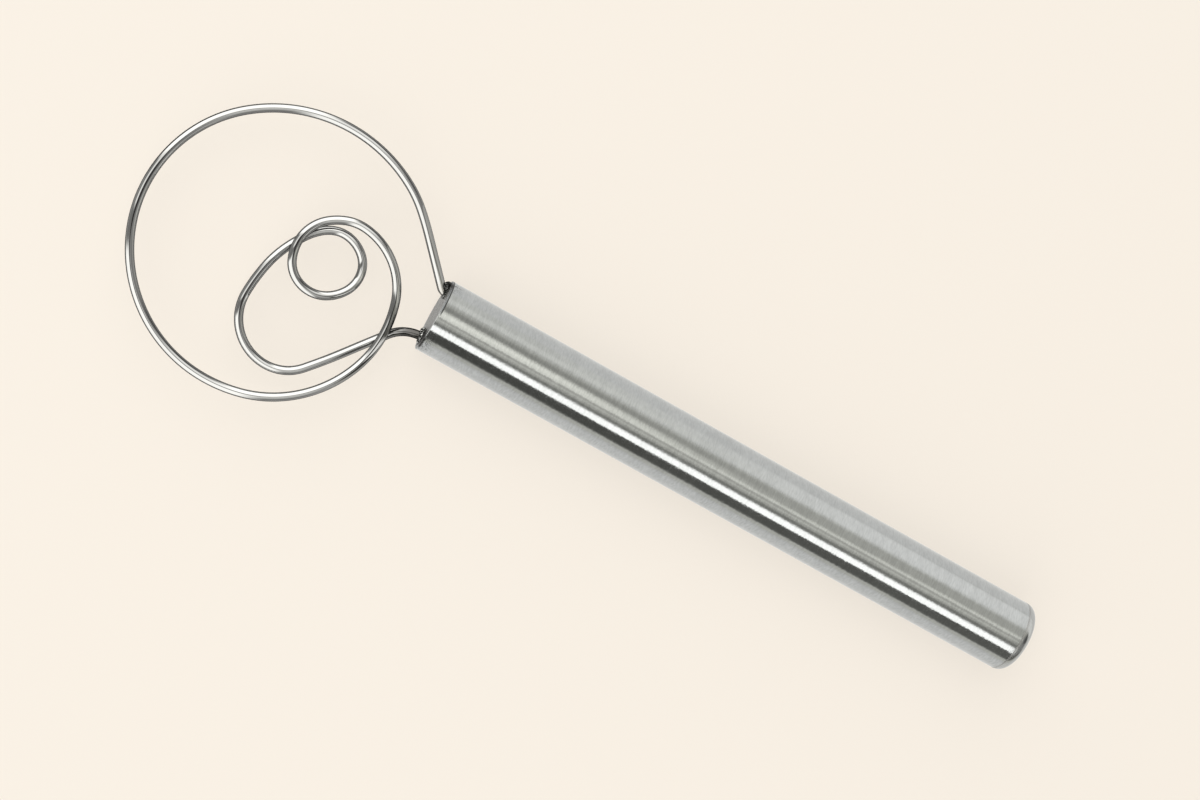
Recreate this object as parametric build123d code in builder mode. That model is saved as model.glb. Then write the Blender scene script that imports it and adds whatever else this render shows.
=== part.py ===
from build123d import *
import os
from math import cos, pi, radians, sin, sqrt

# Dough whisk: one bent wire on a hollow tube handle. Millimetres.
# The origin is the centre of the tube's front rim, +X runs along the handle to its rear,
# the whisk's head lies at -X in the XY plane, and +Z is square to the head.

# Handle tube
tube_outer_diameter = 25.4
tube_wall = 0.8
handle_length = 232.3
rim_break = 0.2

# Front cap, a plate in the mouth of the tube
plate_thickness = 2.5
plate_clearance = 0.03
front_groove = 0.6

# Rear cap, pressed with a rounded edge and a spigot that sits in the tube
cap_edge_radius = 3.3
cap_land = 0.4
cap_wall = 0.9
cap_spigot_length = 6.0
cap_clearance = 0.05
rear_groove = 0.3

# Seam beads, ground until they lie just under the surface
bead_recess = 0.08
rear_bead_recess = 0.02

# Wire and its figure
wire_diameter = 3.0
outer_loop_radius = 47.0
side_arc_radius = 42.0
inner_loop_radius = 23.4
ring_radius = 11.3
lobe_radius = 17.05
loop_stand_off = 7.35
layer_gap = 0.5

# Wire legs, from the bends before the handle to the ends inside it
hole_edge = 2.2
hole_clearance = 0.05
leg_depth = 12.0
exit_bend_radius = 3.0
exit_run = 17.0
exit_turn = 47.0
hump_radius = 12.6
hump_turn = 51.0
crossing_turn = 241.5

# Beads that hold the wire to the front cap
weld_leg = 1.5
weld_clearance = 0.02

# Worked out from the sizes above
tube_radius = tube_outer_diameter / 2
bore_radius = tube_radius - tube_wall
plate_radius = bore_radius - plate_clearance
wire_radius = wire_diameter / 2
hole_radius = wire_radius + hole_clearance
hole_offset = bore_radius - hole_edge - wire_radius
layer = (wire_diameter + layer_gap) / 2
rear_seam = handle_length - cap_edge_radius - cap_land

# The wire's figure. Each row is a bend that the wire passes through on its way from the
# upper hole round to the lower one: the bend's centre along and across from the centre of
# the outer loop, its radius, the places on it in degrees, and the wire's level there.
loop_x = -(loop_stand_off + outer_loop_radius)
loop_y_share = -0.148
shoulder_share = (0.037, -0.086)
shoulder_radius_share = 1.081
flat_radius_share = 0.997
side_x_share = 0.92
side_y_share = -0.107
inner_x_share = 0.899
inner_y_share = -0.054
turn_x_share = 0.087
turn_y_share = 0.130
turn_radius_share = 1.225
ring_x_share = 0.084
ring_y_share = 0.112
ring_right_share = (0.014, 0.003)
ring_top_share = (0.017, -0.004)
ring_top_radius_share = 0.95
ring_end_radius_share = 0.93
crossing_share = (0.054, 0.090)
lobe_x_share = -0.052
lobe_y_share = -0.722
lobe_end_radius_share = 0.88

loop_y = loop_y_share * outer_loop_radius
side_x = loop_x + side_x_share * outer_loop_radius
inner_x = loop_x + inner_x_share * outer_loop_radius
turn_x = loop_x + turn_x_share * outer_loop_radius
ring_x = loop_x + ring_x_share * outer_loop_radius
lobe_x = loop_x + lobe_x_share * outer_loop_radius
lobe_y = loop_y + lobe_y_share * outer_loop_radius


def at_loop(along_share, across_share):
    """A place in the figure, measured in shares of the outer loop from its centre."""
    return Vector(
        loop_x + along_share * outer_loop_radius,
        loop_y + across_share * outer_loop_radius,
    )


def heading(angle):
    """The direction in the head's plane at an angle in degrees from +X."""
    return Vector(cos(radians(angle)), sin(radians(angle)))


def on_bend(centre, radius, angle, level_share):
    """The wire's point and direction on a bend, taken counter-clockwise."""
    place = centre + heading(angle) * radius + Vector(0, 0, level_share * layer)
    return place, heading(angle + 90)


shoulder = at_loop(*shoulder_share)
loop = Vector(loop_x, loop_y)
side = Vector(side_x - side_arc_radius, loop_y + side_y_share * outer_loop_radius)
inner = Vector(inner_x - inner_loop_radius, loop_y + inner_y_share * outer_loop_radius)
turn_radius = turn_radius_share * ring_radius
turn = Vector(turn_x + turn_radius, loop_y + turn_y_share * outer_loop_radius)
ring = Vector(ring_x + ring_radius, loop_y + ring_y_share * outer_loop_radius)
ring_right = ring + Vector(*ring_right_share) * outer_loop_radius
ring_top = ring + Vector(*ring_top_share) * outer_loop_radius
lobe = Vector(lobe_x + lobe_radius, lobe_y + lobe_radius)
lobe_end_radius = lobe_end_radius_share * lobe_radius
lobe_end = Vector(lobe.X, lobe_y + lobe_end_radius)
crossing = at_loop(*crossing_share) - Vector(0, 0, layer)

# The legs in the holes, and the exit bend at the upper hole, tight against the plate
upper_hole = Vector(0, hole_offset)
lower_hole = Vector(0, -hole_offset)
upper_leg_end = upper_hole + Vector(leg_depth, 0)
lower_leg_end = lower_hole + Vector(leg_depth, 0)
outward = Vector(-1, 0)
inward = Vector(1, 0)
exit_centre = upper_hole + Vector(0, exit_bend_radius)
exit_end = exit_centre + heading(-90 - exit_turn) * exit_bend_radius
exit_way = heading(180 - exit_turn)
run_end = exit_end + exit_way * exit_run

# The hump before the lower hole, clockwise until the wire lies along the handle
hump_centre = lower_hole - Vector(0, hump_radius)
hump_start = hump_centre + heading(90 + hump_turn) * hump_radius - Vector(0, 0, layer)
hump_mid = hump_centre + heading(90 + hump_turn / 2) * hump_radius - Vector(0, 0, layer / 2)

stations = [
    (run_end, exit_way),
    on_bend(shoulder, shoulder_radius_share * outer_loop_radius, 60, 0.25),
    on_bend(shoulder, shoulder_radius_share * outer_loop_radius, 130, 0.50),
    on_bend(loop, outer_loop_radius, 175, 0.65),
    on_bend(loop, flat_radius_share * outer_loop_radius, 220, 0.80),
    on_bend(loop, outer_loop_radius, 270, 0.95),
    on_bend(side, side_arc_radius, 300, 1),
    on_bend(side, side_arc_radius, 342, 1),
    on_bend(inner, inner_loop_radius, 16, 1),
    on_bend(inner, inner_loop_radius, 84, 1),
    on_bend(turn, turn_radius, 128, 1),
    on_bend(turn, turn_radius, 183, 1),
    on_bend(ring, ring_radius, 235, 0.8),
    on_bend(ring, ring_radius, 300, 0.2),
    on_bend(ring_right, ring_radius, 365, -0.7),
    on_bend(ring_top, ring_top_radius_share * ring_radius, 440, -1),
    on_bend(ring_top, ring_end_radius_share * ring_radius, 488, -1),
    (crossing, heading(crossing_turn)),
    on_bend(lobe, lobe_radius, 178, -1),
    on_bend(lobe, lobe_radius, 265, -1),
    on_bend(lobe_end, lobe_end_radius, 318, -1),
    (hump_start, heading(hump_turn)),
    (hump_mid, heading(hump_turn / 2)),
    (lower_hole, inward),
]


def sloped(rows):
    """The stations between the first and the last, tilted to the wire's rise past them."""
    tilted = [rows[0]]
    for before, here, after in zip(rows, rows[1:], rows[2:]):
        way = (here[0] - before[0]).length + (after[0] - here[0]).length
        rise = (after[0].Z - before[0].Z) / way
        tilted.append((here[0], (here[1] + Vector(0, 0, rise)).normalized()))
    return tilted + [rows[-1]]


def meeting(start, start_way, end, end_way):
    """The point where the two arcs between two stations meet."""
    gap = end - start
    ways = start_way + end_way
    bend = 2 * (1 - start_way.dot(end_way))
    reach = (sqrt(gap.dot(ways) ** 2 + bend * gap.dot(gap)) - gap.dot(ways)) / bend
    return (start + end + (start_way - end_way) * reach) / 2


# Centreline: a straight leg, the exit bend and its run, then two arcs from each station to
# the next, which meet in line, and the other straight leg
stations = sloped(stations)
with BuildLine() as centreline:
    Line(upper_leg_end, upper_hole)
    TangentArc(upper_hole, exit_end, tangent=outward)
    Line(exit_end, run_end)
    for (start, start_way), (end, end_way) in zip(stations, stations[1:]):
        middle = meeting(start, start_way, end, end_way)
        first = TangentArc(start, middle, tangent=start_way)
        TangentArc(middle, end, tangent=first % 1)
    Line(lower_hole, lower_leg_end)

# Whisk wire: one round wire from end to end, its two legs standing inside the handle
with BuildPart() as whisk_wire:
    with BuildSketch(Plane(origin=upper_leg_end, z_dir=outward)):
        Circle(wire_radius)
    sweep(path=centreline.wire())

# Handle tube: plain round tube, its front rim barely broken and its rear rim grooved
with BuildPart() as handle_tube:
    with BuildSketch(Plane.XY):
        with BuildLine():
            Polyline(
                (0, bore_radius),
                (0, tube_radius - rim_break),
                (rim_break, tube_radius),
                (rear_seam - rear_groove, tube_radius),
                (rear_seam, tube_radius - rear_groove),
                (rear_seam, bore_radius),
                close=True,
            )
        make_face()
    revolve(axis=Axis.X)

# Front cap: a round plate flush in the mouth of the tube, with a hole for each wire leg
with BuildPart() as front_cap:
    with BuildSketch(Plane.XY):
        with BuildLine():
            Polyline(
                (0, 0),
                (0, plate_radius - front_groove),
                (front_groove, plate_radius),
                (plate_thickness, plate_radius),
                (plate_thickness, 0),
                close=True,
            )
        make_face()
    revolve(axis=Axis.X)
    with BuildSketch(Plane.YZ):
        with Locations((hole_offset, 0), (-hole_offset, 0)):
            Circle(hole_radius)
    extrude(amount=plate_thickness, mode=Mode.SUBTRACT)

# Rear cap: a pressed cup, its spigot in the tube and its edge rounded down to a flat end
cap_spigot_radius = bore_radius - cap_clearance
cap_inner_radius = cap_spigot_radius - cap_wall
cap_round_start = handle_length - cap_edge_radius
cap_inner_edge = cap_edge_radius - cap_wall
cap_floor = handle_length - cap_wall
cap_spigot_end = rear_seam - cap_spigot_length
with BuildPart() as rear_cap:
    with BuildSketch(Plane.XY):
        with BuildLine():
            Polyline(
                (cap_spigot_end, cap_inner_radius),
                (cap_spigot_end, cap_spigot_radius),
                (rear_seam, cap_spigot_radius),
                (rear_seam, tube_radius - rear_groove),
                (rear_seam + rear_groove, tube_radius),
                (cap_round_start, tube_radius),
            )
            RadiusArc(
                (cap_round_start, tube_radius),
                (handle_length, tube_radius - cap_edge_radius),
                cap_edge_radius,
            )
            Polyline(
                (handle_length, tube_radius - cap_edge_radius),
                (handle_length, 0),
                (cap_floor, 0),
                (cap_floor, cap_inner_radius - cap_inner_edge),
            )
            RadiusArc(
                (cap_floor, cap_inner_radius - cap_inner_edge),
                (cap_floor - cap_inner_edge, cap_inner_radius),
                -cap_inner_edge,
            )
            Line(
                (cap_floor - cap_inner_edge, cap_inner_radius),
                (cap_spigot_end, cap_inner_radius),
            )
        make_face()
    revolve(axis=Axis.X)

# Front seam weld: the bead in the groove between the plate and the mouth of the tube
with BuildPart() as front_seam_weld:
    with BuildSketch(Plane.XY):
        with BuildLine():
            Polyline(
                (bead_recess, plate_radius - front_groove + bead_recess),
                (bead_recess, bore_radius),
                (front_groove, bore_radius),
                (front_groove, plate_radius),
                close=True,
            )
        make_face()
    revolve(axis=Axis.X)

# Rear seam weld: the bead in the V groove between the tube and the rear cap
with BuildPart() as rear_seam_weld:
    with BuildSketch(Plane.XY):
        with BuildLine():
            Polyline(
                (rear_seam, tube_radius - rear_groove),
                (rear_seam - rear_groove + rear_bead_recess, tube_radius - rear_bead_recess),
                (rear_seam + rear_groove - rear_bead_recess, tube_radius - rear_bead_recess),
                close=True,
            )
        make_face()
    revolve(axis=Axis.X)

# The room that the wire takes in the beads that hold it to the front cap
room_radius = wire_radius + weld_clearance
with BuildPart() as upper_room:
    with BuildLine() as upper_path:
        Line(upper_leg_end, upper_hole)
        TangentArc(upper_hole, exit_end, tangent=outward)
        Line(exit_end, run_end)
    with BuildSketch(Plane(origin=upper_leg_end, z_dir=outward)):
        Circle(room_radius)
    sweep(path=upper_path.wire())

with BuildPart() as lower_room:
    with BuildLine() as lower_path:
        Line(lower_leg_end, lower_hole)
        lower_middle = meeting(*stations[-2], *stations[-1])
        lower_arc = TangentArc(lower_hole, lower_middle, tangent=outward)
        TangentArc(lower_middle, stations[-2][0], tangent=lower_arc % 1)
    with BuildSketch(Plane(origin=lower_leg_end, z_dir=outward)):
        Circle(room_radius)
    sweep(path=lower_path.wire())

# Each lump of a bead: its place round the hole in degrees from +Y towards +Z, then its
# distance from the wire's side, its radius and its stand-off from the plate
upper_lump_shares = (
    (-8, 0.55, 1.05, 0.28),
    (22, 0.62, 0.92, 0.52),
    (-34, 0.60, 0.90, 0.40),
    (52, 0.42, 0.82, 0.18),
    (-66, 0.36, 0.74, 0.14),
    (88, 0.20, 0.62, 0.10),
    (-104, 0.18, 0.58, 0.06),
    (126, 0.10, 0.52, 0.08),
    (-142, 0.08, 0.50, 0.04),
    (166, 0.06, 0.48, 0.06),
)
lower_lump_shares = (
    (6, 0.34, 0.72, 0.30),
    (40, 0.30, 0.66, 0.42),
    (-38, 0.28, 0.62, 0.26),
    (78, 0.24, 0.58, 0.16),
    (-74, 0.22, 0.56, 0.12),
    (114, 0.18, 0.54, 0.10),
    (-112, 0.16, 0.52, 0.08),
    (150, 0.12, 0.52, 0.12),
    (-148, 0.12, 0.50, 0.08),
    (182, 0.14, 0.54, 0.06),
)


def lump_places(rows, across):
    """The centre and radius of each lump of the bead round the hole at a place across."""
    places = []
    for angle, side_share, radius_share, height_share in rows:
        reach = wire_radius + side_share * weld_leg
        place = (
            -height_share * weld_leg,
            across + reach * cos(radians(angle)),
            reach * sin(radians(angle)),
        )
        places.append((place, radius_share * weld_leg))
    return places


# Upper wire weld: the rough bead that fills the corner between the wire and the rim
with BuildPart() as wire_weld_upper:
    for place, lump_radius in lump_places(upper_lump_shares, hole_offset):
        with Locations(place):
            Sphere(lump_radius)
    split(bisect_by=Plane(origin=(0, 0, 0), z_dir=(-1, 0, 0)))
    add(upper_room.part, mode=Mode.SUBTRACT)

# Lower wire weld: the smaller bead round the other leg
with BuildPart() as wire_weld_lower:
    for place, lump_radius in lump_places(lower_lump_shares, -hole_offset):
        with Locations(place):
            Sphere(lump_radius)
    split(bisect_by=Plane(origin=(0, 0, 0), z_dir=(-1, 0, 0)))
    add(lower_room.part, mode=Mode.SUBTRACT)

# The wire's length, its volume against section times length, and its least gap to itself
wire_length = centreline.wire().length
section = pi * wire_radius ** 2
samples = 900
apart = 4 * wire_diameter
points = [centreline.wire().position_at(step / samples) for step in range(samples + 1)]
skip = int(apart / wire_length * samples) + 1
least = min(
    (points[far] - points[near]).length
    for near in range(samples)
    for far in range(near + skip, samples + 1)
)
print("wire length", round(wire_length, 2))
print("volume over section times length", round(whisk_wire.part.volume / section / wire_length, 5))
print("least gap of the wire to itself", round(least - wire_diameter, 3))
print("tightest bends", exit_bend_radius, round(ring_end_radius_share * ring_radius, 2), hump_radius)

os.makedirs("parts", exist_ok=True)
whisk_wire.part.label = "whisk_wire"
handle_tube.part.label = "handle_tube"
front_cap.part.label = "front_cap"
rear_cap.part.label = "rear_cap"
front_seam_weld.part.label = "front_seam_weld"
rear_seam_weld.part.label = "rear_seam_weld"
wire_weld_upper.part.label = "wire_weld_upper"
wire_weld_lower.part.label = "wire_weld_lower"
export_step(whisk_wire.part, "parts/whisk_wire.step")
export_step(handle_tube.part, "parts/handle_tube.step")
export_step(front_cap.part, "parts/front_cap.step")
export_step(rear_cap.part, "parts/rear_cap.step")
export_step(front_seam_weld.part, "parts/front_seam_weld.step")
export_step(rear_seam_weld.part, "parts/rear_seam_weld.step")
export_step(wire_weld_upper.part, "parts/wire_weld_upper.step")
export_step(wire_weld_lower.part, "parts/wire_weld_lower.step")
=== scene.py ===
"""Dough whisk: the looks of a bent wire whisk on a hollow steel handle.

The tube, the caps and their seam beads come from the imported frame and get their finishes
here. The wire is swept here along the route of its solid, with its drawing lines running
along it, and the two beads that hold it are roughened into real weld beads.
Lengths in the sub-assemblies and the lights are in millimetres and become metres in the
meshes. The finishes measure in metres, and their scales count lumps in one metre. The frame
is the part's own: +X runs along the handle to its rear, the head lies at -X and +Z is up.
"""

import logging
import math
from dataclasses import dataclass, field
from enum import Enum

import bmesh
import bpy
from mathutils import Matrix, Vector


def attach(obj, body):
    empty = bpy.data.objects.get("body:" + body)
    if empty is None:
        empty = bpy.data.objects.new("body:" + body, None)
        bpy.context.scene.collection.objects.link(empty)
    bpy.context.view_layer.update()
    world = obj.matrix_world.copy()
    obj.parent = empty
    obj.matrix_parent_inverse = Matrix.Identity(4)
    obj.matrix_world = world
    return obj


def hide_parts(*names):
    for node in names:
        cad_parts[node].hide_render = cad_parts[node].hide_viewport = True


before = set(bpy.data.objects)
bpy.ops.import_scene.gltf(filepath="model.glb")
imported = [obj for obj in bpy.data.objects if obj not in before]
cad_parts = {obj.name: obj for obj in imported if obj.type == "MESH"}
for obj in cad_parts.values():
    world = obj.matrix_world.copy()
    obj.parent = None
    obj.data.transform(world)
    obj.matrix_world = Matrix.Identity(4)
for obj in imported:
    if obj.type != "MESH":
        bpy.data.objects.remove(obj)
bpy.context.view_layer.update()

LOG = logging.getLogger("dough_whisk")
MM = 0.001
BODY = "root"

Colour = tuple[float, float, float]
Scales = tuple[float, float, float]
Pair = tuple[float, float]
Range = Pair
Socket = bpy.types.NodeSocket

# The wide and the narrow middle of a noise's values, and the two ways to fade.
NOISE_CORE: Range = (0.3, 0.7)
NOISE_HEART: Range = (0.35, 0.65)
RISING: Range = (0.0, 1.0)
FALLING: Range = (1.0, 0.0)

CLOTH: Colour = (1.0, 0.985, 0.945)
MILD_CLOTH: Colour = (1.0, 0.985, 0.915)
WARM_CLOTH: Colour = (1.0, 0.982, 0.885)


class Layout(Enum):
    """The two measures that a panel's edges are given in."""

    COMPASS = ("bearing", "height")
    LENGTHWAYS = ("turn", "lean")
    ARCH = ("turn", "reach")
    FLOOR = ("reach", "side")


class Slot(Enum):
    """The names of the record's material slots for the pieces made here, which nothing here uses."""

    WIRE = "polished_wire"
    RAW = "raw_weld"


@dataclass
class Nodes:
    """A small helper round one node tree."""

    tree: bpy.types.NodeTree

    def add(self, kind: str, **values: object) -> bpy.types.Node:
        """Adds a node and sets its properties.

        Args:
            kind: The node's type name.
            **values: Properties of the node.

        Returns:
            The new node.
        """
        node = self.tree.nodes.new(kind)
        for name, value in values.items():
            setattr(node, name, value)
        return node

    def feed(self, target: Socket, source: Socket | float | Colour) -> None:
        """Links a socket to another, or sets its value.

        Args:
            target: The input to feed.
            source: A socket, or a plain value.
        """
        if isinstance(source, bpy.types.NodeSocket):
            self.tree.links.new(source, target)
        elif isinstance(source, tuple) and len(target.default_value) > len(source):
            target.default_value = (*source, 1.0)
        else:
            target.default_value = source

    def math(self, operation: str, *inputs: Socket | float) -> Socket:
        """Adds a Math node.

        Args:
            operation: The operation's name.
            *inputs: Its inputs, sockets or numbers.

        Returns:
            The result's socket.
        """
        node = self.add("ShaderNodeMath", operation=operation)
        for target, source in zip(node.inputs, inputs):
            self.feed(target, source)
        return node.outputs[0]

    def times(self, first: Socket | float, second: Socket | float) -> Socket:
        """Multiplies two numbers."""
        return self.math("MULTIPLY", first, second)

    def plus(self, first: Socket | float, second: Socket | float) -> Socket:
        """Adds two numbers."""
        return self.math("ADD", first, second)

    def split(self, vector: Socket) -> tuple[Socket, Socket, Socket]:
        """Splits a vector into its three numbers.

        Args:
            vector: The vector.

        Returns:
            Its X, Y and Z.
        """
        node = self.add("ShaderNodeSeparateXYZ")
        self.feed(node.inputs[0], vector)
        return node.outputs[0], node.outputs[1], node.outputs[2]

    def vector(self, x: Socket | float, y: Socket | float, z: Socket | float) -> Socket:
        """Joins three numbers into a vector.

        Args:
            x: Its X.
            y: Its Y.
            z: Its Z.

        Returns:
            The vector.
        """
        node = self.add("ShaderNodeCombineXYZ")
        for target, source in zip(node.inputs, (x, y, z)):
            self.feed(target, source)
        return node.outputs[0]

    def noise(self, vector: Socket, scale: float, detail: float = 3.0, rough: float = 0.5) -> Socket:
        """Adds a noise texture.

        Args:
            vector: Where the noise is read.
            scale: Its number of lumps in one unit of the vector.
            detail: Its number of finer layers.
            rough: How strong the finer layers are.

        Returns:
            The noise, from 0 to 1.
        """
        node = self.add("ShaderNodeTexNoise")
        self.feed(node.inputs["Vector"], vector)
        self.feed(node.inputs["Scale"], scale)
        self.feed(node.inputs["Detail"], detail)
        self.feed(node.inputs["Roughness"], rough)
        return node.outputs["Fac"]

    def stretched(self, place: Socket, scales: Scales, detail: float) -> Socket:
        """Adds noise with its own scale along each axis.

        Args:
            place: The place on the piece, in metres.
            scales: Its lumps in one metre along X, Y and Z.
            detail: Its number of finer layers.

        Returns:
            The noise, from 0 to 1.
        """
        parts = (self.times(part, scale) for part, scale in zip(self.split(place), scales))
        return self.noise(self.vector(*parts), 1.0, detail)

    def span(self, value: Socket, source: Range, target: Range, smooth: bool = False) -> Socket:
        """Maps one range of numbers onto another, clamped at both ends.

        Args:
            value: The number to map.
            source: The two ends of its range.
            target: What they become.
            smooth: Whether the ends are eased.

        Returns:
            The mapped number.
        """
        kind = "SMOOTHSTEP" if smooth else "LINEAR"
        node = self.add("ShaderNodeMapRange", interpolation_type=kind)
        self.feed(node.inputs["Value"], value)
        self.feed(node.inputs["From Min"], source[0])
        self.feed(node.inputs["From Max"], source[1])
        self.feed(node.inputs["To Min"], target[0])
        self.feed(node.inputs["To Max"], target[1])
        return node.outputs["Result"]

    def mix(self, share: Socket | float, first: Socket | Colour, second: Socket | Colour) -> Socket:
        """Blends two colours.

        Args:
            share: The second colour's share.
            first: The first colour.
            second: The second colour.

        Returns:
            The blended colour.
        """
        node = self.add("ShaderNodeMix", data_type="RGBA")
        self.feed(node.inputs[0], share)
        self.feed(node.inputs[6], first)
        self.feed(node.inputs[7], second)
        return node.outputs[2]

    def bump(self, height: Socket, depth: float, under: Socket | None = None) -> Socket:
        """Adds a bump.

        Args:
            height: The height, from 0 to 1.
            depth: The depth of a full step, in metres.
            under: A coarser bump that this one lies on.

        Returns:
            The bumped normal.
        """
        node = self.add("ShaderNodeBump")
        self.feed(node.inputs["Height"], height)
        self.feed(node.inputs["Distance"], depth)
        if under is not None:
            self.feed(node.inputs["Normal"], under)
        return node.outputs["Normal"]


def scaled(shares: Range, size: float) -> Range:
    """Turns a range in shares of a size into lengths."""
    return shares[0] * size, shares[1] * size


def blank_material(name: str) -> tuple[bpy.types.Material, Nodes]:
    """Makes a material with nothing in its node tree.

    Args:
        name: The material's name.

    Returns:
        The material and its node helper.
    """
    material = bpy.data.materials.new(name)
    material.use_nodes = True
    nodes = Nodes(material.node_tree)
    nodes.tree.nodes.clear()
    return material, nodes


@dataclass
class Surface:
    """A material while it is being made: metal, unless metallic says otherwise."""

    name: str
    metallic: float = 1.0
    ragged_scale: float = 700.0
    ragged_share: float = 0.3
    heat_edge: Range = (0.35, 1.15)
    material: bpy.types.Material = field(init=False)
    nodes: Nodes = field(init=False)
    shader: bpy.types.Node = field(init=False)
    output: bpy.types.Node = field(init=False)

    def __post_init__(self) -> None:
        """Makes the material with its shader and output."""
        self.material, self.nodes = blank_material(self.name)
        self.shader = self.nodes.add("ShaderNodeBsdfPrincipled")
        self.output = self.nodes.add("ShaderNodeOutputMaterial")
        self.nodes.feed(self.output.inputs["Surface"], self.shader.outputs["BSDF"])
        self.shader.inputs["Metallic"].default_value = self.metallic

    def place(self) -> Socket:
        """The place on the piece, in metres."""
        return self.nodes.add("ShaderNodeTexCoord").outputs["Object"]

    def heat(self, place: Socket, spots: tuple[Vector, ...], reach: float) -> Socket:
        """How hot the welding made a place, with a ragged edge.

        Args:
            place: The place on the piece.
            spots: The middles of the hot spots, in metres.
            reach: How far the heat of one spread, in metres.

        Returns:
            1 at a hot spot, falling to 0 at its reach.
        """
        nodes = self.nodes
        nearest = None
        for spot in spots:
            apart = nodes.add("ShaderNodeVectorMath", operation="DISTANCE")
            nodes.feed(apart.inputs[0], place)
            apart.inputs[1].default_value = spot
            value = apart.outputs["Value"]
            nearest = value if nearest is None else nodes.math("MINIMUM", nearest, value)
        ragged = nodes.times(nodes.noise(place, self.ragged_scale), self.ragged_share * reach)
        edge = scaled(self.heat_edge, reach)
        return nodes.span(nodes.plus(nearest, ragged), edge, FALLING, smooth=True)


@dataclass(frozen=True)
class Scratches:
    """Sparse fine scratches that run one way.

    The crowd is that of the scratch cells in one metre across the scratches. They lie in
    patches, whose crowd is a share of theirs.
    """

    crowd: float = 260.0
    crowd_along: float = 0.06
    turn: tuple[float, float, float] = (0.2, 0.4, 1.1)
    edge: Range = (0.004, 0.02)
    patch_crowd: float = 0.35
    patch_edge: Range = (0.52, 0.62)
    depth: float = 0.0000012
    roughness: float = 0.05

    def marks(self, nodes: Nodes, place: Socket) -> Socket:
        """Where the scratches are.

        Args:
            nodes: The material's node helper.
            place: The place on the piece.

        Returns:
            1 in a scratch and 0 beside it.
        """
        along = self.crowd * self.crowd_along
        turned = nodes.add("ShaderNodeMapping")
        nodes.feed(turned.inputs["Vector"], place)
        turned.inputs["Rotation"].default_value = self.turn
        turned.inputs["Scale"].default_value = (self.crowd, along, along)
        cells = nodes.add("ShaderNodeTexVoronoi", feature="DISTANCE_TO_EDGE")
        nodes.feed(cells.inputs["Vector"], turned.outputs["Vector"])
        nodes.feed(cells.inputs["Scale"], 1.0)
        line = nodes.span(cells.outputs["Distance"], self.edge, FALLING, smooth=True)
        patches = nodes.noise(place, self.crowd * self.patch_crowd)
        return nodes.times(line, nodes.span(patches, self.patch_edge, RISING, smooth=True))


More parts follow.
